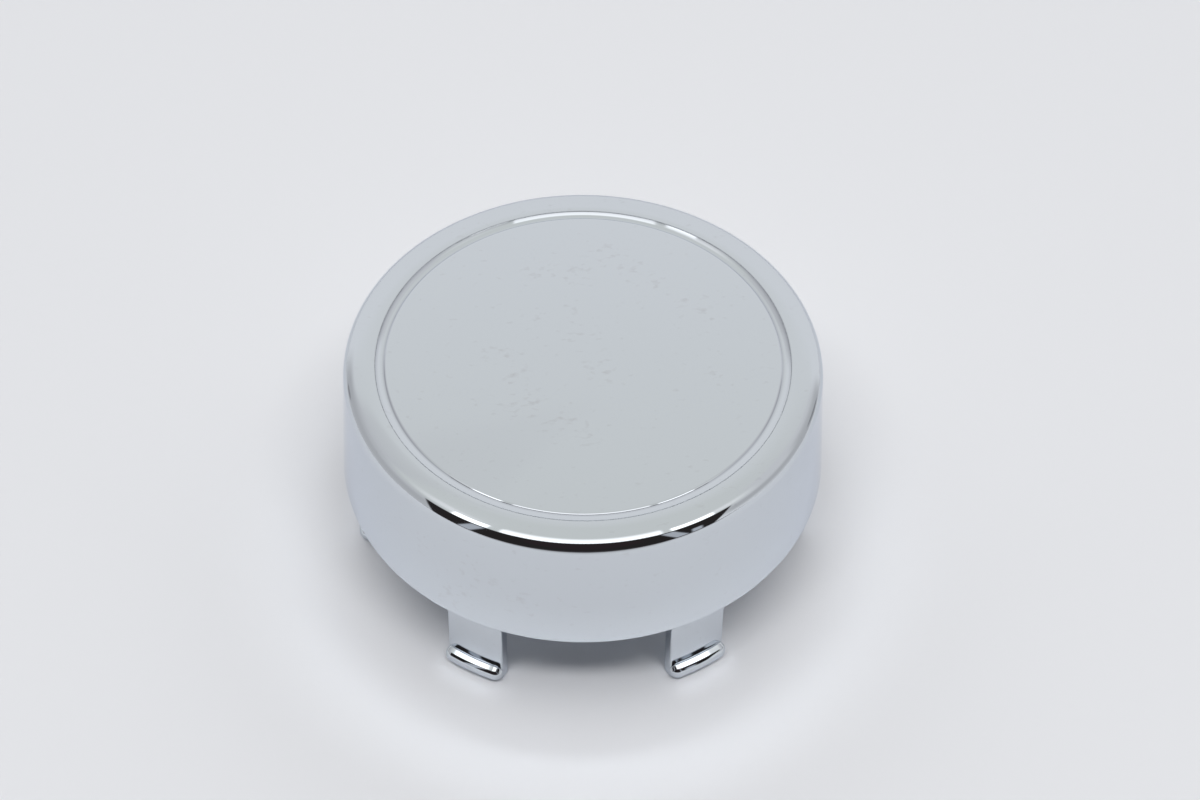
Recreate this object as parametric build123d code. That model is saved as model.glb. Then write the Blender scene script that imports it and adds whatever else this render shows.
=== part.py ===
from build123d import *
import math
import os

# Wheel centre cap, moulded in one piece and plated: a shallow cup with a ring of snap legs under its skirt.
# The legs stand on z = 0 and the cup's axis is Z. Lengths are millimetres and angles are degrees.

# Fit in the wheel
bore_diameter = 78.1
leg_clearance = 0.1
seat_overlap = 3.45

# Cup
drum_height = 24.5
skirt_draft = 3.0
skirt_wall = 2.5
top_wall = 2.5
rim_radius = 2.3
inner_corner_chamfer = 1.0
skirt_edge_chamfer = 0.3

# Groove round the top face
rim_width = 5.35
groove_width = 1.5
groove_depth = 0.4
groove_draft = 18.0

# Snap legs
leg_count = 6
leg_width = 10.8
leg_thickness = 2.0
leg_length = 18.8
leg_edge_chamfer = 0.25
leg_root_height = 3.0
hook_radius = 1.65
hook_lift = 0.1
hook_overhang = 0.25
hook_end_length = 1.0
hook_end_radius = 0.9

# Rib down the inner face of each leg
rib_thickness = 1.4
rib_depth = 2.6
rib_foot_height = 6.0

# Levels and radii that follow from the sizes
seat_level = leg_length
top_level = seat_level + drum_height
ceiling_level = top_level - top_wall
draft_slope = math.tan(math.radians(skirt_draft))
seat_radius = bore_diameter / 2 + seat_overlap
top_radius = seat_radius - drum_height * draft_slope
seat_inner_radius = seat_radius - skirt_wall
ceiling_radius = seat_inner_radius - (ceiling_level - seat_level) * draft_slope
groove_outer_radius = top_radius - rim_width
groove_inner_radius = groove_outer_radius - groove_width
leg_outer_radius = bore_diameter / 2 - leg_clearance
leg_inner_radius = leg_outer_radius - leg_thickness
leg_middle_radius = leg_outer_radius - leg_thickness / 2
leg_pitch = 360 / leg_count
root_level = seat_level + leg_root_height
root_radius = seat_radius - skirt_wall / 2
root_reach = root_radius - leg_inner_radius


def nearest_corner(face, point):
    """The corner of a flat face that lies nearest to a point."""
    return face.vertices().sort_by_distance(point)[0]


def upright(face):
    """Stands a face drawn as radius and height on the XZ plane."""
    return Plane.XZ * face


def make_cup():
    """The cup: one turned section with a drafted skirt, a rounded rim and a groove in its top."""
    groove_floor = top_level - groove_depth
    groove_shift = groove_depth * math.tan(math.radians(groove_draft))
    seat_outer = (seat_radius, seat_level)
    rim_corner = (top_radius, top_level)
    ceiling_corner = (ceiling_radius, ceiling_level)
    outline = Polyline(
        seat_outer,
        rim_corner,
        (groove_outer_radius, top_level),
        (groove_outer_radius - groove_shift, groove_floor),
        (groove_inner_radius + groove_shift, groove_floor),
        (groove_inner_radius, top_level),
        (0, top_level),
        (0, ceiling_level),
        ceiling_corner,
        (seat_inner_radius, seat_level),
        close=True,
    )
    face = make_face(outline)
    face = fillet(nearest_corner(face, rim_corner), rim_radius)
    face = chamfer(nearest_corner(face, ceiling_corner), inner_corner_chamfer)
    face = chamfer(nearest_corner(face, seat_outer), min(skirt_edge_chamfer, skirt_wall / 2))
    return revolve(upright(face), Axis.Z)


def make_leg():
    """One leg at +X: a strip of a tube below the seat, with a root that fills out to the skirt above it."""
    outline = Polyline(
        (leg_inner_radius, 0),
        (leg_outer_radius, 0),
        (leg_outer_radius, seat_level),
        (root_radius, seat_level),
        (root_radius - (leg_root_height + root_reach) * draft_slope, root_level + root_reach),
        (leg_inner_radius, root_level),
        close=True,
    )
    ring = revolve(upright(make_face(outline)), Axis.Z)
    strip = Box(seat_radius, leg_width, top_level, align=(Align.MIN, Align.CENTER, Align.MIN))
    leg = ring & strip
    return chamfer(leg.edges().filter_by(Axis.Z), min(leg_edge_chamfer, leg_thickness / 3))


def make_hook():
    """The hook of the leg at +X: a half-round bead just above the leg's foot, tapered at both ends."""
    half_length = leg_width / 2 + hook_overhang - hook_end_length
    end_angle = math.degrees(math.asin(half_length / leg_outer_radius))
    hook_level = hook_lift + hook_radius
    middle = Pos(leg_outer_radius, hook_level)
    bead = Rot(0, 0, -end_angle) * revolve(upright(middle * Circle(hook_radius)), Axis.Z, 2 * end_angle)
    taper = Cone(hook_radius, hook_end_radius, hook_end_length, align=(Align.CENTER, Align.CENTER, Align.MIN))
    for side in (1, -1):
        end_plane = Rot(0, 0, side * end_angle) * Pos(leg_outer_radius, 0, hook_level) * Rot(-side * 90, 0, 0)
        bead += end_plane * taper
    behind = Cylinder(leg_middle_radius, top_level, align=(Align.CENTER, Align.CENTER, Align.MIN))
    return bead - behind


def make_rib():
    """The rib behind the leg at +X: a gusset, deepest level with the seat and running out above the hook."""
    outline = Polyline(
        (leg_middle_radius, rib_foot_height),
        (leg_inner_radius, rib_foot_height),
        (leg_inner_radius - rib_depth, seat_level),
        (leg_middle_radius, root_level),
        close=True,
    )
    return extrude(upright(make_face(outline)), rib_thickness / 2, both=True)


def make_cap():
    """The whole cap: the cup with its ring of legs, the first a half pitch from the front."""
    snap = make_leg() + make_rib() + make_hook()
    cap = make_cup()
    for number in range(leg_count):
        cap += Rot(0, 0, -90 + (number + 1 / 2) * leg_pitch) * snap
    return cap


os.makedirs("parts", exist_ok=True)
export_step(make_cap(), "parts/centre_cap.step")
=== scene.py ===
"""Looks of a wheel centre cap: a moulded, chrome plated cup with six snap legs, standing in a light tent."""

import logging
import math
from collections.abc import Sequence
from dataclasses import dataclass
from enum import Enum

import bpy
import numpy as np
from mathutils import Matrix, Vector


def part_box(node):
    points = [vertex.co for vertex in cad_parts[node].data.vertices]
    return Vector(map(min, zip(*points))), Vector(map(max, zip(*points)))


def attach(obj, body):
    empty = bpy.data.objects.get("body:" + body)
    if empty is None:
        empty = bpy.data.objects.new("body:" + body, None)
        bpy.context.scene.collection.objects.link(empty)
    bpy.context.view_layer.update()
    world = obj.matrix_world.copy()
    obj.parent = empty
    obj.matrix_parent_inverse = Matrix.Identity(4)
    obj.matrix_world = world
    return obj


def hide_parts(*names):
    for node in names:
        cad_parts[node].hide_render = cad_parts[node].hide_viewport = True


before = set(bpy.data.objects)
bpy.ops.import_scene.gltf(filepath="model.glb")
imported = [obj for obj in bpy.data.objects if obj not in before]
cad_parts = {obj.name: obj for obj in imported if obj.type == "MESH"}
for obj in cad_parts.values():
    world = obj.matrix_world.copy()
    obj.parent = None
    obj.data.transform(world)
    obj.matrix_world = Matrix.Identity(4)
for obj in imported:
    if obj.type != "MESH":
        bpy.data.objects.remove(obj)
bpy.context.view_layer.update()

LOG = logging.getLogger("centre_cap")
MM = 0.001
CAP_NODE = "centre_cap"
CAP_BODY = "root"
MATH = "ShaderNodeMath"
VECTOR_MATH = "ShaderNodeVectorMath"
MAP_RANGE = "ShaderNodeMapRange"
MIX = "ShaderNodeMix"

Point = tuple[float, float]
Place = tuple[float, float, float]
Light = tuple[float, float, float, float]
Node = bpy.types.Node
Object = bpy.types.Object
Socket = bpy.types.NodeSocket
Tree = bpy.types.NodeTree


def linear(hex_colour: str) -> Light:
    """Turns an sRGB hex colour into linear light.

    Args:
        hex_colour: six hex digits after a hash sign.

    Returns:
        Linear red, green, blue and an alpha of 1.
    """
    channels = [int(hex_colour[place:place + 2], 16) / 255 for place in (1, 3, 5)]
    light = [c / 12.92 if c <= 0.04045 else ((c + 0.055) / 1.055) ** 2.4 for c in channels]
    return (*light, 1.0)


def add_node(tree: Tree, kind: str, inputs: dict | None = None, **settings: object) -> Node:
    """Adds one node with its settings and links.

    Args:
        tree: the node tree that takes the node.
        kind: the node's type name.
        inputs: what each input takes, by its name or number: a value, an output socket, or a node that gives
            its first output in use.
        **settings: attributes of the node itself.

    Returns:
        The new node.
    """
    node = tree.nodes.new(kind)
    for name, value in settings.items():
        setattr(node, name, value)
    for key, value in (inputs or {}).items():
        if isinstance(value, Node):
            value = next(socket for socket in value.outputs if socket.enabled)
        if isinstance(value, Socket):
            tree.links.new(value, node.inputs[key])
        else:
            node.inputs[key].default_value = value
    return node


def emptied(owner: bpy.types.Material | bpy.types.World) -> Tree:
    """Gives a material or a world a node tree with nothing in it.

    Args:
        owner: the material or world.

    Returns:
        The node tree.
    """
    owner.use_nodes = True
    owner.node_tree.nodes.clear()
    return owner.node_tree


def placed(name: str, data: bpy.types.ID) -> Object:
    """Puts a mesh, a lamp or a camera into the scene as an object.

    Args:
        name: the object's name.
        data: the mesh, lamp or camera.

    Returns:
        The new object.
    """
    made = bpy.data.objects.new(name, data)
    bpy.context.scene.collection.objects.link(made)
    return made


@dataclass(frozen=True)
class Corner:
    """One corner of a section, in millimetres from the cap's axis and foot.

    Attributes:
        r: distance from the axis.
        z: height above the foot.
        radius: the corner's rounding.
    """

    r: float
    z: float
    radius: float = 0.0


class Outline:
    """A line of straight runs and rounded corners, as the points along it.

    Attributes:
        steps: angle in degrees between the points of a rounding, after the least radius that it goes with.
        fewest_steps: least number of steps round a corner.
        support: how far beside a rounding its support points lie, in millimetres.
        support_room: how many times as far as its support point a run has to reach to take one.
        least_bisector: limit on how far a sharp corner moves when the line is moved inwards.
    """

    steps = ((5.0, 2.0), (0.5, 5.0), (0.0, 12.0))
    fewest_steps = 4
    support = 0.12
    support_room = 4
    least_bisector = 0.2

    def __init__(self, corners: Sequence[Corner], closed: bool) -> None:
        """Rounds the corners.

        Args:
            corners: the line's corners in order, anticlockwise round the solid.
            closed: whether the last corner joins the first.
        """
        self.points: list[Point] = []
        for number, corner in enumerate(corners):
            ends = not closed and number in (0, len(corners) - 1)
            if ends or corner.radius == 0.0:
                self.points.append((corner.r, corner.z))
                continue
            before = corners[number - 1]
            after = corners[(number + 1) % len(corners)]
            self.points.extend(self._arc(before, corner, after))

    def _step(self, radius: float) -> float:
        """The angle in radians between neighbouring points on a rounding of this radius."""
        return math.radians(next(angle for least, angle in self.steps if radius >= least))

    def _arc(self, before: Corner, corner: Corner, after: Corner) -> list[Point]:
        """Points round one corner, with a close support point on each side.

        Args:
            before: the corner that comes before.
            corner: the corner to round.
            after: the corner that comes after.

        Returns:
            The rounding's points in order.
        """
        here = np.array([corner.r, corner.z])
        back = np.array([before.r, before.z]) - here
        on = np.array([after.r, after.z]) - here
        back_length, on_length = np.linalg.norm(back), np.linalg.norm(on)
        back, on = back / back_length, on / on_length
        opening = math.acos(float(np.clip(back @ on, -1.0, 1.0)))
        trim = corner.radius / math.tan(opening / 2)
        middle = here + (back + on) / np.linalg.norm(back + on) * corner.radius / math.sin(opening / 2)
        turn = math.pi - opening
        steps = max(self.fewest_steps, math.ceil(turn / self._step(corner.radius)))
        start, end = here + back * trim - middle, here + on * trim - middle
        blends = [step / steps for step in range(steps + 1)]
        arc = [
            middle + (math.sin((1 - b) * turn) * start + math.sin(b * turn) * end) / math.sin(turn)
            for b in blends
        ]
        reach = trim + self.support
        if back_length > self.support_room * reach:
            arc.insert(0, here + back * reach)
        if on_length > self.support_room * reach:
            arc.append(here + on * reach)
        return [(float(p[0]), float(p[1])) for p in arc]

    def inset(self, depth: float) -> list[Point]:
        """The closed line moved inwards.

        Args:
            depth: how far each run moves, in millimetres.

        Returns:
            The moved points.
        """
        here = np.array(self.points)
        runs = np.roll(here, -1, axis=0) - here
        runs /= np.linalg.norm(runs, axis=1, keepdims=True)
        inward = np.stack([-runs[:, 1], runs[:, 0]], axis=1)
        bisector = inward + np.roll(inward, 1, axis=0)
        bisector /= np.maximum((bisector * inward).sum(axis=1, keepdims=True), self.least_bisector)
        return [(float(p[0]), float(p[1])) for p in here + depth * bisector]


def mesh_object(name: str, vertices: Sequence[Place], faces: Sequence[Sequence[int]]) -> Object:
    """Makes a mesh object in the scene.

    Args:
        name: the object's name.
        vertices: corner places.
        faces: corner numbers of each face.

    Returns:
        The new object.
    """
    mesh = bpy.data.meshes.new(name)
    mesh.from_pydata(vertices, [], faces)
    mesh.validate()
    return placed(name, mesh)


def ring_skin(name: str, rings: Sequence[Sequence[Place]], poles: Sequence[Place] = ()) -> Object:
    """Makes a closed mesh over a row of rings.

    Args:
        name: the object's name.
        rings: the rings in order, each with as many points as the first.
        poles: the points that close the first and the last ring, or nothing for flat ends.

    Returns:
        The new object.
    """
    count = len(rings[0])
    last = (len(rings) - 1) * count
    vertices = [place for ring in rings for place in ring]
    sides = [(side, (side + 1) % count) for side in range(count)]
    faces: list[tuple[int, ...]] = []
    for here in range(0, last, count):
        there = here + count
        faces += [(here + a, there + a, there + b, here + b) for a, b in sides]
    if not poles:
        faces += [tuple(range(count)), tuple(reversed(range(last, last + count)))]
        return mesh_object(name, vertices, faces)
    first_pole, last_pole = len(vertices), len(vertices) + 1
    vertices += poles
    faces += [(first_pole, a, b) for a, b in sides]
    faces += [(last_pole, last + b, last + a) for a, b in sides]
    return mesh_object(name, vertices, faces)


def remove(done: Object) -> None:
    """Deletes an object and its mesh.

    Args:
        done: the object that is no longer needed.
    """
    mesh = done.data
    bpy.data.objects.remove(done)
    bpy.data.meshes.remove(mesh)


def united(base: Object, *others: Object) -> Object:
    """Joins closed meshes into one skin and removes what lies inside it.

    Args:
        base: the mesh that takes the others in.
        *others: the meshes that are taken in and removed.

    Returns:
        The base object with its new mesh.
    """
    for other in others:
        join = base.modifiers.new(other.name, "BOOLEAN")
        join.operation = "UNION"
        join.solver = "MANIFOLD"
        join.object = other
    bpy.context.view_layer.update()
    graph = bpy.context.evaluated_depsgraph_get()
    skin = bpy.data.meshes.new_from_object(base.evaluated_get(graph))
    old = base.data
    base.modifiers.clear()
    base.data = skin
    bpy.data.meshes.remove(old)
    for other in others:
        remove(other)
    return base


@dataclass
class Cup:
    """The turned cup: a flat disc inside a shallow groove, a rounded rim and a drafted skirt, all one wall.

    Attributes:
        seat_radius: outer radius at the skirt's open end, in millimetres, as are all the lengths.
        seat_level: height of the skirt's open end.
        top_level: height of the top face.
        draft: the skirt's taper in degrees.
        rim_tilt_in: fall of the rim's faint crown towards the groove, in degrees.
        rim_tilt_out: fall of the crown towards the skirt, in degrees.
        groove_knee: how far in and down the groove's steep outer edge turns into a ramp.
        groove_bend: how far in and down the ramp bends to a gentle fall.
        groove_foot: how far in and down the groove is deepest, where it meets the disc's edge.
        disc_fall: slope of the disc's edge at the groove's foot, in degrees.
        disc_edge_radius: the roll of the disc's edge from level to that slope.
    """

    seat_radius: float
    seat_level: float
    top_level: float
    draft: float = 3.0
    skirt_wall: float = 2.5
    top_wall: float = 2.5
    rim_radius: float = 2.3
    inner_corner_radius: float = 1.0
    seat_outer_radius: float = 0.35
    seat_inner_radius: float = 0.2
    rim_width: float = 5.52
    rim_tilt_in: float = 2.5
    rim_tilt_out: float = 3.5
    crown_width: float = 3.0
    groove_edge_radius: float = 0.05
    groove_knee: Point = (0.07, 0.08)
    groove_knee_radius: float = 0.08
    groove_bend: Point = (0.72, 0.325)
    groove_bend_radius: float = 1.0
    groove_foot: Point = (1.42, 0.362)
    groove_foot_radius: float = 0.03
    disc_fall: float = 36.0
    disc_edge_radius: float = 0.6
    disc_edge_run: float = 0.03
    columns: int = 360

    @property
    def slope(self) -> float:
        """Radius lost for each millimetre of height."""
        return math.tan(math.radians(self.draft))

    @property
    def top_radius(self) -> float:
        """Radius at which the skirt's line meets the top face."""
        return self.seat_radius - (self.top_level - self.seat_level) * self.slope

    @property
    def groove_outer(self) -> float:
        """Radius of the groove's outer edge."""
        return self.top_radius - self.rim_width

    @property
    def disc_corner(self) -> Corner:
        """Where the flat of the disc would meet the slope of its edge.

        Returns:
            The corner, rounded by the roll of the disc's edge.
        """
        fall = math.radians(self.disc_fall)
        run = self.disc_edge_radius * math.tan(fall / 2) + self.disc_edge_run
        foot_in, foot_down = self.groove_foot
        return Corner(
            self.groove_outer - foot_in - run * math.cos(fall),
            self.top_level - foot_down + run * math.sin(fall),
            self.disc_edge_radius,
        )

    def _rim(self) -> list[Corner]:
        """The corners from the skirt over the crowned rim to the groove's edge.

        Returns:
            The corners in order.
        """
        fall_in, fall_out = math.radians(self.rim_tilt_in), math.radians(self.rim_tilt_out)
        turn = fall_in + fall_out
        crown_radius = self.crown_width / turn
        reach = crown_radius * math.tan(turn / 2)
        peak = self.top_level + reach * math.sin(fall_in) - crown_radius * (1 - math.cos(fall_in))
        middle = self.groove_outer + self.crown_width / 2
        drop = (self.top_radius - middle) * math.tan(fall_out) - (peak - self.top_level)
        edge = peak - (middle - self.groove_outer) * math.tan(fall_in)
        return [
            Corner(self.top_radius + drop * self.slope, self.top_level - drop, self.rim_radius),
            Corner(middle, peak, crown_radius),
            Corner(self.groove_outer, edge, self.groove_edge_radius),
        ]

    def _groove(self) -> list[Corner]:
        """The corners from the groove's outer flank to the flat of the disc.

        Returns:
            The corners in order.
        """
        turns = (
            (self.groove_knee, self.groove_knee_radius),
            (self.groove_bend, self.groove_bend_radius),
            (self.groove_foot, self.groove_foot_radius),
        )
        flank = [
            Corner(self.groove_outer - inward, self.top_level - down, radius)
            for (inward, down), radius in turns
        ]
        return [*flank, self.disc_corner]

    def section(self) -> Outline:
        """The wall's section, from the axis under the top and round the skirt back to the axis.

        Returns:
            The rounded line.
        """
        ceiling = self.top_level - self.top_wall
        inner = self.seat_radius - self.skirt_wall
        ceiling_radius = inner - (ceiling - self.seat_level) * self.slope
        wall = [
            Corner(0.0, ceiling),
            Corner(ceiling_radius, ceiling, self.inner_corner_radius),
            Corner(inner, self.seat_level, self.seat_inner_radius),
            Corner(self.seat_radius, self.seat_level, self.seat_outer_radius),
        ]
        middle = Corner(0.0, self.disc_corner.z)
        return Outline([*wall, *self._rim(), *self._groove(), middle], closed=False)

    def build(self) -> Object:
        """Turns the section about the axis.

        Returns:
            The cup as a closed mesh, in millimetres.
        """
        ceiling, *wall, top = self.section().points
        angles = [2 * math.pi * column / self.columns for column in range(self.columns)]
        # The rings start at the top's middle, so that the faces look outwards.
        rings = [[(r * math.cos(a), r * math.sin(a), z) for a in angles] for r, z in reversed(wall)]
        return ring_skin("cup", rings, ((0.0, 0.0, top[1]), (0.0, 0.0, ceiling[1])))


@dataclass
class SnapLeg:
    """One snap leg at +X: a strip of tube rooted in the skirt, with a rib behind it and a hook at its foot.

    Attributes:
        outer_radius: radius of the leg's outer face, in millimetres, as are all the lengths.
        seat_level: height of the skirt's open end.
        root_radius: how far out the root reaches inside the skirt's wall.
        wall_slope: the skirt's taper, as radius for each millimetre of height.
        hook_face_tilt: tilt of the flat along the top of the hook, in degrees from level.
        hook_face_depth: how deep that flat cuts into the round bead.
    """

    outer_radius: float
    seat_level: float
    root_radius: float
    wall_slope: float
    width: float = 10.8
    thickness: float = 2.0
    edge_radius: float = 0.3
    foot_radius: float = 0.3
    root_height: float = 3.0
    root_sink: float = 0.03
    hook_radius: float = 1.65
    hook_lift: float = 0.1
    hook_overhang: float = 0.25
    hook_face_tilt: float = 25.5
    hook_face_depth: float = 0.1
    rib_thickness: float = 1.4
    rib_depth: float = 2.6
    rib_foot: float = 6.0
    rib_edge_radius: float = 0.2
    columns: int = 32
    edge_columns: int = 6
    hook_columns: int = 48
    hook_sides: int = 48

    @property
    def inner_radius(self) -> float:
        """Radius of the leg's inner face."""
        return self.outer_radius - self.thickness

    def _slab(self, name: str, outline: Outline, half: float, edge: float, bent: bool) -> Object:
        """A closed outline drawn out sideways, with its side edges rounded.

        Args:
            name: the mesh's name.
            outline: the side view.
            half: half the slab's width.
            edge: rounding of the side edges.
            bent: whether the slab follows the circle round the cap's axis.

        Returns:
            The slab as a closed mesh.
        """
        bends = [math.pi / 2 * step / self.edge_columns for step in range(self.edge_columns + 1)]
        ends = [(half - edge + edge * math.sin(b), edge * (1 - math.cos(b))) for b in bends]
        flats = np.linspace(edge - half, half - edge, self.columns + 1)[1:-1]
        across = [(-y, depth) for y, depth in reversed(ends)]
        across += [(float(y), 0.0) for y in flats]
        across += ends
        rings = [
            [(math.sqrt(r * r - y * y) if bent else r, y, z) for r, z in outline.inset(depth)]
            for y, depth in across
        ]
        return ring_skin(name, rings)

    def plate(self) -> Object:
        """The leg itself with the root that fills out to the skirt.

        Returns:
            The leg as a closed mesh.
        """
        shelf = self.seat_level + self.root_sink
        root_level = self.seat_level + self.root_height
        reach = self.root_radius - self.inner_radius
        root_top = self.root_radius - (self.root_height + reach) * self.wall_slope
        corners = [
            Corner(self.inner_radius, 0.0, self.foot_radius),
            Corner(self.outer_radius, 0.0, self.foot_radius),
            Corner(self.outer_radius, shelf),
            Corner(self.root_radius, shelf),
            Corner(root_top, root_level + reach),
            Corner(self.inner_radius, root_level),
        ]
        side = Outline(corners, closed=True)
        return self._slab("leg_plate", side, self.width / 2, self.edge_radius, bent=True)

    def rib(self) -> Object:
        """The gusset behind the leg, deepest level with the skirt's open end.

        Returns:
            The gusset as a closed mesh.
        """
        sunk = self.thickness / 2
        inside = self.inner_radius + sunk
        foot_drop = sunk * (self.seat_level - self.rib_foot) / self.rib_depth
        corners = [
            Corner(inside, self.rib_foot - foot_drop),
            Corner(inside, self.seat_level + self.root_height),
            Corner(self.inner_radius - self.rib_depth, self.seat_level, self.rib_edge_radius),
        ]
        side = Outline(corners, closed=True)
        return self._slab("leg_rib", side, self.rib_thickness / 2, self.rib_edge_radius, bent=False)

    def _bead(self) -> list[Point]:
        """The section of the hook's bead with the flat along its top, for a radius of 1.

        Returns:
            How far out and up its points lie.
        """
        face_turn = math.pi / 2 - math.radians(self.hook_face_tilt)
        face_reach = 1 - self.hook_face_depth / self.hook_radius
        points = []
        for side in range(self.hook_sides):
            turn = 2 * math.pi * side / self.hook_sides
            reach = face_reach / max(math.cos(turn - face_turn), face_reach)
            points.append((reach * math.cos(turn), reach * math.sin(turn)))
        return points

    def hook(self) -> Object:
        """The bead along the foot: a round bar bent to the leg's circle, with ball ends and a flat on top.

        Returns:
            The bead as a closed mesh.
        """
        half = self.width / 2 + self.hook_overhang
        straight = half - self.hook_radius
        level = self.hook_lift + self.hook_radius
        ball_steps = self.hook_sides // 4
        balls = [math.pi / 2 * step / ball_steps for step in range(ball_steps)]
        ends = [(straight + self.hook_radius * math.sin(b), self.hook_radius * math.cos(b)) for b in balls]
        middles = np.linspace(-straight, straight, self.hook_columns + 1)[1:-1]
        along = [(-s, size) for s, size in reversed(ends)]
        along += [(float(s), self.hook_radius) for s in middles]
        along += ends

        def place(s: float, out: float, rise: float) -> Place:
            """A point at arc length s along the leg's circle, moved outwards and up."""
            angle, reach = s / self.outer_radius, self.outer_radius + out
            return (reach * math.cos(angle), reach * math.sin(angle), level + rise)

        bead = self._bead()
        rings = [[place(s, size * out, size * rise) for out, rise in bead] for s, size in along]
        return ring_skin("leg_hook", rings, (place(-half, 0.0, 0.0), place(half, 0.0, 0.0)))

    def build(self) -> Object:
        """The whole leg as one closed mesh, in millimetres."""
        return united(self.plate(), self.hook(), self.rib())


@dataclass(frozen=True)
class RubMark:
    """One faint mark of handling on the plating.

    Attributes:
        x: place to the right of the cap's axis, in millimetres.
        y: place behind the axis.
        z: height above the foot.
        size: the mark's radius.
    """

    x: float
    y: float
    z: float
    size: float


@dataclass(frozen=True)
class ShadeLine:
    """One darker line of painted shade round a corner of the groove, faded out on one side of the cap.

    Attributes:
        radius: the line's radius, in millimetres, as are the other lengths.
        clean_at: how far to the back of the middle the line is gone.
        full_at: how far to the back of the middle it is whole.
    """

    radius: float
    clean_at: float
    full_at: float


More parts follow.
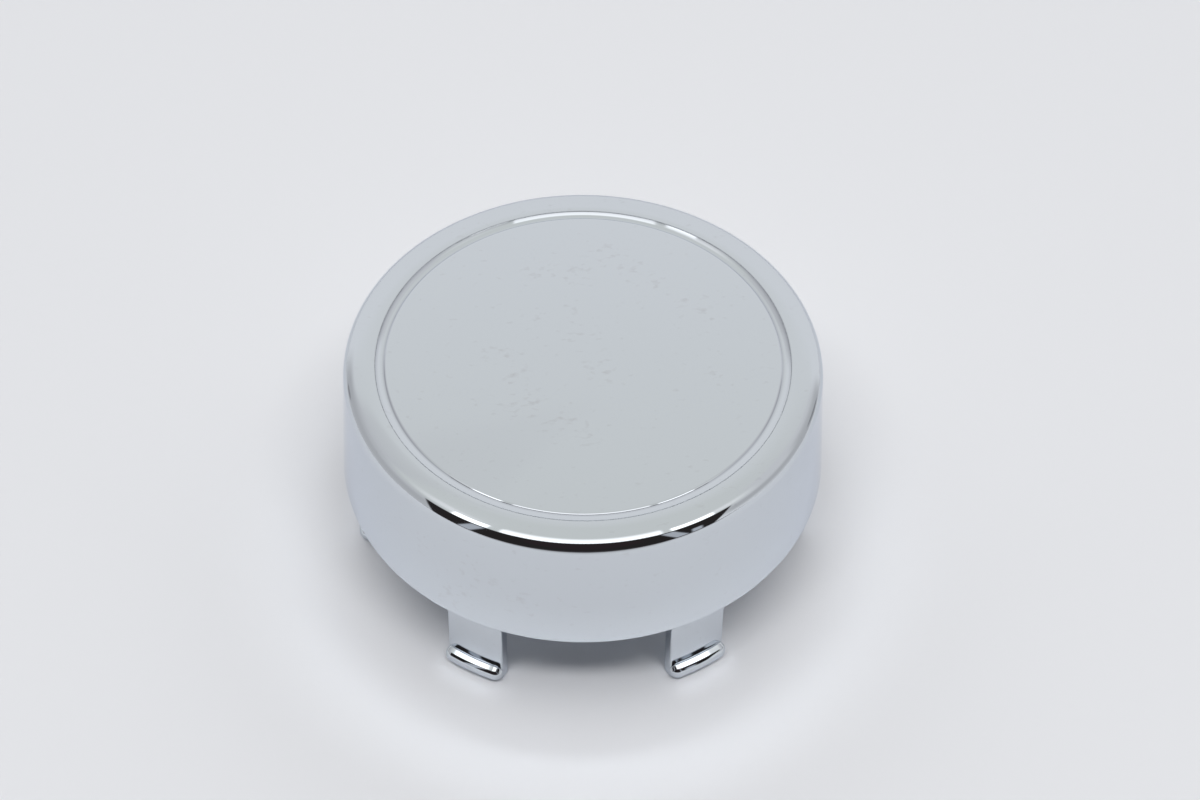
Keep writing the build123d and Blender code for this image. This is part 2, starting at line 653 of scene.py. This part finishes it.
@dataclass(frozen=True)
class BrightChrome:
    """Bright chrome plating, electroplated on moulded ABS.

    The eye sees the room rather than a colour: a sharp mirror with a faint blue cast. Handling has left a
    thin film that softens it in patches, with small dull smears, and the groove's two corners carry darker
    lines of painted shade.

    Attributes:
        top_level: height of the top face, in millimetres, as are all the lengths.
        shade_lines: the darker lines of painted shade in the groove's corners.
        mirror: colour of the clean plating.
        edge: tint of the plating seen at a slant, where chrome mirrors a little less red.
        smear: colour of the plating where a mark is thickest.
        corner_shade: colour of the lines of painted shade in the groove's corners.
        roughness: the clean plating's roughness.
        film_roughness: roughness added where the film is thickest.
        film_size: width of the film's patches.
        film_levels: levels of the noise at which the film starts and is thickest.
        film_detail: how many finer patches lie within a patch.
        film_grain: how strong those finer patches are.
        fleck_roughness: roughness added in a rub mark's flecks.
        fleck_size: width of those flecks.
        fleck_stretch: how many times as long as wide the flecks are.
        fleck_turn: direction of the flecks, in degrees to the left of the cap's X axis.
        fleck_detail: how ragged the flecks are.
        fleck_levels: levels of the noise at which a fleck starts and is thickest.
        fleck_crowding: how far a rub mark's middle lowers those levels.
        shade_line_width: how far each line of painted shade fades out to both sides.
        shade_line_depth: how far below the top face the lines are found.
        disc_marks: place to the right and to the back and size of each rub mark on the disc.
        skirt_marks: the rub marks on the skirt.
    """

    top_level: float
    shade_lines: tuple[ShadeLine, ...]
    name: str = "bright_chrome_on_abs"
    mirror: str = "#D7DCE1"
    edge: str = "#EBEDF2"
    smear: str = "#C9CBCF"
    corner_shade: str = "#C1C5CC"
    roughness: float = 0.03
    film_roughness: float = 0.04
    film_size: float = 14.0
    film_levels: Point = (0.45, 0.75)
    film_detail: float = 4.0
    film_grain: float = 0.6
    fleck_roughness: float = 0.05
    fleck_size: float = 1.1
    fleck_stretch: float = 1.6
    fleck_turn: float = 35.0
    fleck_detail: float = 2.0
    fleck_levels: Point = (0.65, 1.0)
    fleck_crowding: float = 0.17
    shade_line_width: float = 0.4
    shade_line_depth: float = 1.0
    disc_marks: tuple[Place, ...] = (
        (-13.1, 0.6, 4.6), (-10.9, -3.3, 3.8), (-16.9, 1.8, 3.1), (-13.5, -10.6, 5.3), (-9.0, -10.0, 5.3),
        (-7.8, 21.2, 5.8), (-1.2, 20.6, 4.8), (4.3, 25.0, 5.3), (8.8, 21.7, 4.8), (13.0, 17.8, 4.3),
        (21.2, 12.5, 5.8), (-2.1, 11.7, 3.8), (-8.6, 9.9, 3.8), (-0.6, 6.0, 4.8), (3.0, -2.8, 5.3),
        (-4.0, -14.3, 5.8), (0.3, -17.2, 4.3), (23.3, -3.9, 3.8),
    )
    skirt_marks: tuple[RubMark, ...] = (
        RubMark(-27.5, -31.4, 33.3, 2.6),
        RubMark(-22.2, -35.9, 23.7, 5.7),
        RubMark(-18.7, -37.4, 31.4, 5.3),
        RubMark(-11.3, -40.5, 28.4, 4.8),
    )

    def _flecks(self, tree: Tree, place: Socket) -> Node:
        """A mask of fine flecks, sparse all over and crowded in the rub marks.

        Args:
            tree: the material's node tree.
            place: the point on the cap, in metres.

        Returns:
            The node that gives the mask.
        """
        marks = [RubMark(x, y, self.top_level, size) for x, y, size in self.disc_marks]
        crowded: Node | float = 0.0
        for mark in [*marks, *self.skirt_marks]:
            middle = (mark.x * MM, mark.y * MM, mark.z * MM)
            away = add_node(tree, VECTOR_MATH, {0: place, 1: middle}, operation="DISTANCE")
            fade = {"Value": away, 1: 0.0, 2: mark.size * MM, 3: self.fleck_crowding, 4: 0.0}
            near = add_node(tree, MAP_RANGE, fade)
            crowded = add_node(tree, MATH, {0: crowded, 1: near}, operation="MAXIMUM")
        turned = (0.0, 0.0, math.radians(-self.fleck_turn))
        drawn_out = (1 / self.fleck_stretch, 1.0, 1.0)
        streaks = {"Vector": place, "Rotation": turned, "Scale": drawn_out}
        streaked = add_node(tree, "ShaderNodeMapping", streaks)
        scale = 1 / (self.fleck_size * MM)
        noise = {"Vector": streaked, "Scale": scale, "Detail": self.fleck_detail}
        grain = add_node(tree, "ShaderNodeTexNoise", noise)
        level = add_node(tree, MATH, {0: grain, 1: crowded}, operation="ADD")
        start, full = self.fleck_levels
        return add_node(tree, MAP_RANGE, {"Value": level, 1: start, 2: full})

    def _corner_shade_mask(self, tree: Tree, place: Socket) -> Node:
        """A mask of the darker lines of painted shade in the groove's corners.

        Args:
            tree: the material's node tree.
            place: the point on the cap, in metres.

        Returns:
            The node that gives the mask.
        """
        flat = add_node(tree, VECTOR_MATH, {0: place, 1: (1.0, 1.0, 0.0)}, operation="MULTIPLY")
        reach = add_node(tree, VECTOR_MATH, {0: flat}, operation="LENGTH")
        axes = add_node(tree, "ShaderNodeSeparateXYZ", {"Vector": place})
        back, height = axes.outputs["Y"], axes.outputs["Z"]
        shown: Node | float = 0.0
        for line in self.shade_lines:
            aside = add_node(tree, MATH, {0: reach, 1: line.radius * MM}, operation="SUBTRACT")
            away = add_node(tree, MATH, {0: aside}, operation="ABSOLUTE")
            clean, whole = line.clean_at * MM, line.full_at * MM
            left = add_node(tree, MAP_RANGE, {"Value": back, 1: clean, 2: whole})
            fade = {"Value": away, 1: 0.0, 2: self.shade_line_width * MM, 3: left, 4: 0.0}
            drawn = add_node(tree, MAP_RANGE, fade)
            shown = add_node(tree, MATH, {0: shown, 1: drawn}, operation="MAXIMUM")
        lowest = (self.top_level - self.shade_line_depth) * MM
        on_top = add_node(tree, MATH, {0: height, 1: lowest}, operation="GREATER_THAN")
        return add_node(tree, MATH, {0: shown, 1: on_top}, operation="MULTIPLY")

    def material(self) -> bpy.types.Material:
        """Builds the node material.

        Returns:
            The new material.
        """
        made = bpy.data.materials.new(self.name)
        tree = emptied(made)
        place = add_node(tree, "ShaderNodeTexCoord").outputs["Object"]
        flecks = self._flecks(tree, place)
        corner_shade = self._corner_shade_mask(tree, place)
        scale = 1 / (self.film_size * MM)
        noise = {"Vector": place, "Scale": scale, "Detail": self.film_detail, "Roughness": self.film_grain}
        film = add_node(tree, "ShaderNodeTexNoise", noise)
        start, full = self.film_levels
        dulled = self.roughness + self.film_roughness
        haze = add_node(tree, MAP_RANGE, {"Value": film, 1: start, 2: full, 3: self.roughness, 4: dulled})
        rough = add_node(tree, MATH, {0: flecks, 1: self.fleck_roughness, 2: haze}, operation="MULTIPLY_ADD")
        colour: Node | Light = linear(self.mirror)
        # The smears are handling marks; the lines in the groove's corners are painted shade.
        for mask, over in ((flecks, self.smear), (corner_shade, self.corner_shade)):
            colour = add_node(tree, MIX, {0: mask, 6: colour, 7: linear(over)}, data_type="RGBA")
        shader = add_node(
            tree,
            "ShaderNodeBsdfPrincipled",
            {"Base Color": colour, "Metallic": 1.0, "Roughness": rough, "Specular Tint": linear(self.edge)},
        )
        add_node(tree, "ShaderNodeOutputMaterial", {"Surface": shader})
        return made


@dataclass
class CentreCap:
    """The centre cap: the cup with a ring of snap legs, moulded and plated as one piece.

    Attributes:
        height: the cap's height in metres, from the frame.
        bore: diameter of the wheel's bore in millimetres, as are the other lengths.
        leg_clearance: gap between the legs and the bore.
        seat_overlap: how far the skirt reaches out past the bore.
        drum_height: height of the cup.
        sharp_angle: least angle in degrees at which an edge stays sharp.
        knee_shade_line: how far to the back the painted shade line at the groove's knee is gone and is
            whole.
        foot_shade_line: how far to the back the painted shade line at the groove's foot is gone and is
            whole.
    """

    height: float
    bore: float = 78.1
    leg_clearance: float = 0.1
    seat_overlap: float = 3.45
    drum_height: float = 24.5
    leg_count: int = 6
    sharp_angle: float = 32.0
    knee_shade_line: Point = (-16.0, 2.0)
    foot_shade_line: Point = (30.0, 10.0)

    @property
    def top_level(self) -> float:
        """Height of the top face in millimetres."""
        return round(self.height / MM, 3)

    @property
    def seat_level(self) -> float:
        """Height of the skirt's open end in millimetres."""
        return self.top_level - self.drum_height

    @property
    def cup(self) -> Cup:
        """The cup's sizes."""
        return Cup(self.bore / 2 + self.seat_overlap, self.seat_level, self.top_level)

    def build(self) -> Object:
        """Builds the cap in one skin.

        Returns:
            The cap in metres, in the frame's place.
        """
        cup = self.cup
        root = cup.seat_radius - cup.skirt_wall / 2
        leg = SnapLeg(self.bore / 2 - self.leg_clearance, self.seat_level, root, cup.slope)
        cap = cup.build()
        pattern = leg.build()
        pitch = 2 * math.pi / self.leg_count
        # The first leg stands a half pitch to the right of the front.
        first = pitch / 2 - math.pi / 2
        legs = []
        for number in range(self.leg_count):
            turned = placed(f"leg_{number}", pattern.data.copy())
            turned.data.transform(Matrix.Rotation(first + number * pitch, 4, "Z"))
            legs.append(turned)
        united(cap, *legs)
        remove(pattern)
        cap.name = "plated_centre_cap"
        cap.data.name = "plated_centre_cap"
        cap.data.transform(Matrix.Scale(MM, 4))
        cap.data.shade_smooth()
        cap.data.set_sharp_from_angle(angle=math.radians(self.sharp_angle))
        return cap

    def dress(self, cap: Object) -> None:
        """Gives the cap its finish and its place in the frame.

        Args:
            cap: the built object.
        """
        # Darker lines of painted shade along the groove's knee and foot, fading out towards one side.
        lines = (
            ShadeLine(self.cup.groove_outer - self.cup.groove_knee[0], *self.knee_shade_line),
            ShadeLine(self.cup.groove_outer - self.cup.groove_foot[0], *self.foot_shade_line),
        )
        cap.data.materials.clear()
        cap.data.materials.append(BrightChrome(self.top_level, lines).material())
        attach(cap, CAP_BODY)
        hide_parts(CAP_NODE)


@dataclass(frozen=True)
class WhiteSheet:
    """White matt board under the cap: even, with no shine, a little blue.

    The plating mirrors the board as it is in the tent, where its front runs out into shade.

    Attributes:
        colour: colour of the board.
        shade: colour of its front where the tent's light no longer reaches it.
        shade_span: how far to the front of the cap the shade starts and is full, in metres.
        shade_cut: how much further to the front it starts for each metre to either side.
    """

    name: str = "white_matt_board"
    colour: str = "#E4E5E8"
    shade: str = "#3A3638"
    shade_span: Point = (0.1, 0.4)
    shade_cut: float = 0.33
    roughness: float = 0.9

    def material(self) -> bpy.types.Material:
        """Builds the node material.

        Returns:
            The new material.
        """
        made = bpy.data.materials.new(self.name)
        tree = emptied(made)
        place = add_node(tree, "ShaderNodeNewGeometry").outputs["Position"]
        axes = add_node(tree, "ShaderNodeSeparateXYZ", {"Vector": place})
        aside = add_node(tree, MATH, {0: axes.outputs["X"]}, operation="ABSOLUTE")
        slanted = {0: aside, 1: self.shade_cut, 2: axes.outputs["Y"]}
        reach = add_node(tree, MATH, slanted, operation="MULTIPLY_ADD")
        near, far = self.shade_span
        front = add_node(tree, MAP_RANGE, {"Value": reach, 1: -near, 2: -far})
        mirrored = add_node(tree, "ShaderNodeLightPath").outputs["Is Glossy Ray"]
        shaded = add_node(tree, MATH, {0: front, 1: mirrored}, operation="MULTIPLY")
        colours = {0: shaded, 6: linear(self.colour), 7: linear(self.shade)}
        board = add_node(tree, MIX, colours, data_type="RGBA")
        looks = {"Base Color": board, "Roughness": self.roughness, "Specular IOR Level": 0.0}
        shader = add_node(tree, "ShaderNodeBsdfPrincipled", looks)
        add_node(tree, "ShaderNodeOutputMaterial", {"Surface": shader})
        return made


@dataclass
class Floor:
    """The pale floor that the cap stands on.

    Attributes:
        radius: how far it reaches, in metres.
    """

    radius: float = 4.0
    sides: int = 96
    finish: WhiteSheet = WhiteSheet()

    def build(self) -> Object:
        """Builds and dresses the floor.

        Returns:
            The floor object.
        """
        angles = [2 * math.pi * side / self.sides for side in range(self.sides)]
        vertices = [(self.radius * math.cos(a), self.radius * math.sin(a), 0.0) for a in angles]
        floor = mesh_object("floor", vertices, [tuple(range(self.sides))])
        floor.data.materials.append(self.finish.material())
        return floor


class PatchShape(Enum):
    """Outline of a patch of the tent."""

    BOX = "box"
    OVAL = "oval"


@dataclass(frozen=True)
class TentPatch:
    """One lamp, opening or fold of the tent, placed by the tilt of a mirror that shows it to the viewer.

    Attributes:
        across: least and greatest turn of that mirror to the right of the front, in degrees.
        tilt: least and greatest tilt of that mirror from level, in degrees.
        soft: width of the soft edge across and in tilt, in degrees.
        colour: colour of the patch.
        strength: brightness, where 1 is white.
        lean: how far the patch moves to the right for each degree of tilt, in degrees.
        rise: how far the patch moves in tilt for each degree to the right, in degrees.
        chips: spacing of the lamp's diodes across, in degrees, or 0 for an even patch.
        shape: the patch's outline.
        thrown: whether the patch is only found in the light that the plating throws on the floor.
    """

    across: Point
    tilt: Point
    soft: Point
    colour: str
    strength: float = 1.0
    lean: float = 0.0
    rise: float = 0.0
    chips: float = 0.0
    shape: PatchShape = PatchShape.BOX
    thrown: bool = False

    @property
    def middle(self) -> Point:
        """The patch's middle across and in tilt."""
        return (sum(self.across) / 2, sum(self.tilt) / 2)

    @property
    def light(self) -> Light:
        """The patch's linear colour times its strength."""
        red, green, blue, _ = linear(self.colour)
        return (red * self.strength, green * self.strength, blue * self.strength, 1.0)


@dataclass
class LightTent:
    """A white light tent with lamps in its roof and a dark opening at the front.

    Attributes:
        viewer_elevation: height of the viewpoint that the patches are placed for, in degrees.
        turn: turn of the whole tent about the vertical, in degrees.
        low_wall: colour of the tent's cloth low down.
        high_wall: colour of the cloth higher up.
        wall_heights: the heights at which the cloth has those colours, in degrees.
        chip_depth: how far each diode's light stands out from the lamp's edge, in degrees.
        patches: the lamps, openings and folds, each drawn over those before it.
    """

    viewer_elevation: float
    turn: float
    low_wall: str = "#EBECEE"
    high_wall: str = "#DEE0DE"
    wall_heights: Point = (45.0, 53.0)
    chip_depth: float = 2.6
    patches: tuple[TentPatch, ...] = (
        TentPatch((-80.0, -55.0), (4.0, 28.0), (10.0, 12.0), "#D4D4D6"),
        TentPatch((46.0, 84.0), (8.0, 36.0), (10.0, 14.0), "#DBDBDD"),
        TentPatch((-89.0, -36.0), (24.5, 58.0), (12.0, 27.0), "#C0C0C2", rise=0.37),
        TentPatch((63.0, 84.0), (24.0, 50.0), (8.0, 18.0), "#C6C6C8"),
        TentPatch((36.0, 82.0), (36.0, 55.5), (8.0, 14.0), "#C0C0C2"),
        TentPatch((-82.5, -77.5), (38.5, 46.5), (2.0, 2.0), "#98989B", shape=PatchShape.OVAL),
        TentPatch((70.5, 80.0), (41.0, 47.5), (2.0, 2.0), "#929295", shape=PatchShape.OVAL),
        TentPatch((-44.0, -28.0), (9.0, 25.0), (14.0, 12.0), "#FFFFFF", 0.95),
        TentPatch((28.0, 44.0), (19.0, 30.0), (12.0, 10.0), "#FFFFFF", 0.95),
        TentPatch((-20.5, 20.2), (16.0, 34.0), (1.2, 12.0), "#FFFFFF", 1.5),
        TentPatch((-20.0, 19.7), (24.0, 33.5), (0.8, 1.5), "#FFFFFF", 1.7, chips=1.05),
        TentPatch((-33.4, -23.8), (18.5, 33.0), (1.2, 3.0), "#FFFFFF", 2.2),
        TentPatch((22.6, 34.2), (21.5, 33.0), (1.2, 3.0), "#FFFFFF", 2.2),
        TentPatch((-39.2, 20.0), (33.5, 66.0), (1.0, 3.0), "#2B2828", lean=0.12),
        TentPatch((-20.0, 36.0), (33.5, 66.0), (1.0, 3.0), "#2B2828", lean=-0.2),
        TentPatch((-14.0, 15.0), (33.0, 57.0), (2.0, 2.0), "#30282A", shape=PatchShape.OVAL),
        TentPatch((-29.0, -25.6), (36.5, 66.0), (1.0, 3.0), "#BBBEC5", lean=-0.11),
        TentPatch((21.4, 24.6), (36.5, 66.0), (1.0, 3.0), "#BBBEC5", lean=0.123),
        TentPatch((27.2, 29.9), (52.0, 66.0), (1.0, 4.0), "#BBBEC5"),
        TentPatch((-20.6, 20.6), (30.4, 34.0), (1.0, 0.5), "#FFFFFF", 12.0, thrown=True),
    )

    def _window(self, tree: Tree, value: Node, span: Point, soft: float) -> Node:
        """A mask that is 1 inside a span, with soft edges.

        Args:
            tree: the world's node tree.
            value: the node whose value is tested.
            span: least and greatest value inside.
            soft: width of each edge.

        Returns:
            The node that gives the mask.
        """
        low, high = span
        rising, falling = (
            add_node(
                tree,
                MAP_RANGE,
                {"Value": value, 1: limit - soft / 2, 2: limit + soft / 2, 3: before, 4: after},
                interpolation_type="SMOOTHSTEP",
            )
            for limit, before, after in ((low, 0.0, 1.0), (high, 1.0, 0.0))
        )
        return add_node(tree, MATH, {0: rising, 1: falling}, operation="MULTIPLY")

    def _box(self, tree: Tree, patch: TentPatch, across: Node, tilt: Node) -> Node:
        """The mask of a four-sided patch.

        Args:
            tree: the world's node tree.
            patch: the patch.
            across: the mirror's turn to the right.
            tilt: the mirror's tilt.

        Returns:
            The node that gives the mask.
        """
        middle_across, middle_tilt = patch.middle
        leaned, raised = (
            add_node(tree, MATH, {0: by, 1: -slant, 2: angle}, operation="MULTIPLY_ADD")
            for by, slant, angle in ((tilt, patch.lean, across), (across, patch.rise, tilt))
        )
        if patch.chips:
            pace = 2 * math.pi / patch.chips
            phase = add_node(tree, MATH, {0: across, 1: pace}, operation="MULTIPLY")
            wave = add_node(tree, MATH, {0: phase}, operation="SINE")
            raised = add_node(tree, MATH, {0: wave, 1: self.chip_depth, 2: raised}, operation="MULTIPLY_ADD")
        across_span = tuple(limit - patch.lean * middle_tilt for limit in patch.across)
        tilt_span = tuple(limit - patch.rise * middle_across for limit in patch.tilt)
        sideways = self._window(tree, leaned, across_span, patch.soft[0])
        upright = self._window(tree, raised, tilt_span, patch.soft[1])
        return add_node(tree, MATH, {0: sideways, 1: upright}, operation="MULTIPLY")

    def _oval(self, tree: Tree, patch: TentPatch, across: Node, tilt: Node) -> Node:
        """The mask of an oval patch.

        Args:
            tree: the world's node tree.
            patch: the patch.
            across: the mirror's turn to the right.
            tilt: the mirror's tilt.

        Returns:
            The node that gives the mask.
        """
        width, height = (high - low for low, high in (patch.across, patch.tilt))
        rounding = (1.0, width / height, 0.0)
        place = add_node(tree, "ShaderNodeCombineXYZ", {"X": across, "Y": tilt})
        away = add_node(tree, VECTOR_MATH, {0: place, 1: (*patch.middle, 0.0)}, operation="SUBTRACT")
        round_away = add_node(tree, VECTOR_MATH, {0: away, 1: rounding}, operation="MULTIPLY")
        reach = add_node(tree, VECTOR_MATH, {0: round_away}, operation="LENGTH")
        return self._window(tree, reach, (-width / 2, width / 2), patch.soft[0])

    def _mirror_angles(self, tree: Tree, direction: Node) -> tuple[Node, Node]:
        """The turn and tilt of the mirror that shows a direction to the viewer.

        Args:
            tree: the world's node tree.
            direction: the direction looked in, in the tent's own axes.

        Returns:
            The turn to the right of the front and the tilt from level, in degrees.
        """
        rise = math.radians(self.viewer_elevation)
        viewer = (0.0, -math.cos(rise), math.sin(rise))
        halfway = add_node(tree, VECTOR_MATH, {0: direction, 1: viewer}, operation="ADD")
        mirror = add_node(tree, VECTOR_MATH, {0: halfway}, operation="NORMALIZE")
        axes = add_node(tree, "ShaderNodeSeparateXYZ", {"Vector": mirror})
        front = add_node(tree, MATH, {0: axes.outputs["Y"], 1: -1.0}, operation="MULTIPLY")
        turn = add_node(tree, MATH, {0: axes.outputs["X"], 1: front}, operation="ARCTAN2")
        tilt = add_node(tree, MATH, {0: axes.outputs["Z"]}, operation="ARCCOSINE")
        return tuple(add_node(tree, MATH, {0: a}, operation="DEGREES") for a in (turn, tilt))

    def _wall(self, tree: Tree, direction: Node) -> Node:
        """The tent's cloth, changing colour with height.

        Args:
            tree: the world's node tree.
            direction: the direction looked in.

        Returns:
            The node that gives the colour.
        """
        low, high = (math.sin(math.radians(height)) for height in self.wall_heights)
        axes = add_node(tree, "ShaderNodeSeparateXYZ", {"Vector": direction})
        height = add_node(tree, MAP_RANGE, {"Value": axes.outputs["Z"], 1: low, 2: high})
        colours = {0: height, 6: linear(self.low_wall), 7: linear(self.high_wall)}
        return add_node(tree, MIX, colours, data_type="RGBA")

    def _thrown(self, tree: Tree) -> Node:
        """A mask that is 1 for light which the plating throws on the floor.

        Args:
            tree: the world's node tree.

        Returns:
            The node that gives the mask.
        """
        path = add_node(tree, "ShaderNodeLightPath")
        mirrored, scatterings = path.outputs["Is Glossy Ray"], path.outputs["Diffuse Depth"]
        scattered = add_node(tree, MATH, {0: scatterings, 1: 1.0}, operation="MINIMUM")
        return add_node(tree, MATH, {0: mirrored, 1: scattered}, operation="MULTIPLY")

    def build(self) -> bpy.types.World:
        """Builds the world that lights the cap and that the plating mirrors.

        Returns:
            The new world, set on the scene.
        """
        world = bpy.data.worlds.new("light_tent")
        bpy.context.scene.world = world
        tree = emptied(world)
        place = add_node(tree, "ShaderNodeTexCoord").outputs["Generated"]
        turned = {"Vector": place, "Angle": math.radians(-self.turn)}
        direction = add_node(tree, "ShaderNodeVectorRotate", turned, rotation_type="Z_AXIS")
        across, tilt = self._mirror_angles(tree, direction)
        light = self._wall(tree, direction)
        masks = {PatchShape.BOX: self._box, PatchShape.OVAL: self._oval}
        thrown = self._thrown(tree)
        for patch in self.patches:
            mask = masks[patch.shape](tree, patch, across, tilt)
            if patch.thrown:
                mask = add_node(tree, MATH, {0: mask, 1: thrown}, operation="MULTIPLY")
            light = add_node(tree, MIX, {0: mask, 6: light, 7: patch.light}, data_type="RGBA")
        background = add_node(tree, "ShaderNodeBackground", {"Color": light, "Strength": 1.0})
        add_node(tree, "ShaderNodeOutputWorld", {"Surface": background})
        return world


@dataclass
class RoofLamp:
    """The diffused lamp along the tent's front edge: most of the floor's light, and the shadow's edge.

    Attributes:
        turn: turn of the tent about the vertical, in degrees.
        angle: how far the lamp lies to the front of straight overhead, in degrees.
        distance: how far away it is, in metres.
        size: its length across and its depth, in metres.
        power: its power in watts.
    """

    turn: float
    angle: float = 23.0
    distance: float = 3.0
    size: Point = (2.45, 0.38)
    power: float = 35.0

    def build(self) -> Object:
        """Builds the lamp, which the plating shows as part of the tent instead.

        Returns:
            The lamp object.
        """
        data = bpy.data.lights.new("roof_lamp", "AREA")
        data.shape = "RECTANGLE"
        data.size, data.size_y = self.size
        data.energy = self.power
        lamp = placed("roof_lamp", data)
        lamp.visible_glossy = False
        tip = Matrix.Rotation(math.radians(self.angle), 4, "X")
        aim = Matrix.Rotation(math.radians(self.turn), 4, "Z") @ tip
        lamp.matrix_world = aim @ Matrix.Translation((0.0, 0.0, self.distance))
        return lamp


@dataclass
class Viewpoint:
    """The camera, placed from the middle of the skirt's open end.

    Attributes:
        level: height of that middle in millimetres.
        elevation: how high the camera looks down from, in degrees.
        roll: tilt of the picture in degrees.
        turn: turn about the vertical in degrees, to the right of the front.
        distance: how far back the camera is, in millimetres.
        aside: how far the middle lies to the right of the camera's line and above it, in millimetres.
        lens: focal length in millimetres.
        sensor: width of the sensor in millimetres.
    """

    level: float
    elevation: float = 48.754
    roll: float = 0.739
    turn: float = -1.86
    distance: float = 527.16
    aside: Point = (-3.077, -9.07)
    lens: float = 88.8
    sensor: float = 36.0

    def build(self) -> Object:
        """Builds the camera and makes it the scene's.

        Returns:
            The camera object.
        """
        right, up = self.aside
        back = Matrix.Translation((-right * MM, -up * MM, self.distance * MM))
        roll = Matrix.Rotation(math.radians(self.roll), 4, "Z")
        tip = Matrix.Rotation(math.pi / 2 - math.radians(self.elevation), 4, "X")
        lift = Matrix.Translation((0.0, 0.0, self.level * MM))
        turn = Matrix.Rotation(math.radians(self.turn), 4, "Z")
        data = bpy.data.cameras.new("viewpoint")
        data.lens = self.lens
        data.sensor_width = self.sensor
        camera = placed("viewpoint", data)
        camera.matrix_world = turn @ lift @ tip @ roll @ back
        bpy.context.scene.camera = camera
        return camera


def main() -> None:
    """Builds the cap, the floor, the tent and the camera, and reports each."""
    logging.basicConfig(level=logging.INFO, format="%(name)s: %(message)s")
    bpy.context.scene.view_settings.view_transform = "Standard"
    # The light that the plating throws on the floor keeps its edge.
    bpy.context.scene.cycles.blur_glossy = 0.0
    low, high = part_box(CAP_NODE)
    cap = CentreCap(height=high.z - low.z)
    body = cap.build()
    cap.dress(body)
    LOG.info("%s: %d faces, replaces %s", body.name, len(body.data.polygons), CAP_NODE)
    floor = Floor().build()
    LOG.info("%s: stage", floor.name)
    view = Viewpoint(level=cap.seat_level)
    camera = view.build()
    LOG.info("%s: lens %.1f mm", camera.name, view.lens)
    lamp = RoofLamp(turn=view.turn).build()
    LOG.info("%s: %.1f W", lamp.name, lamp.data.energy)
    tent = LightTent(viewer_elevation=view.elevation, turn=view.turn).build()
    LOG.info("%s: %d nodes", tent.name, len(tent.node_tree.nodes))


if __name__ == "__main__":
    main()
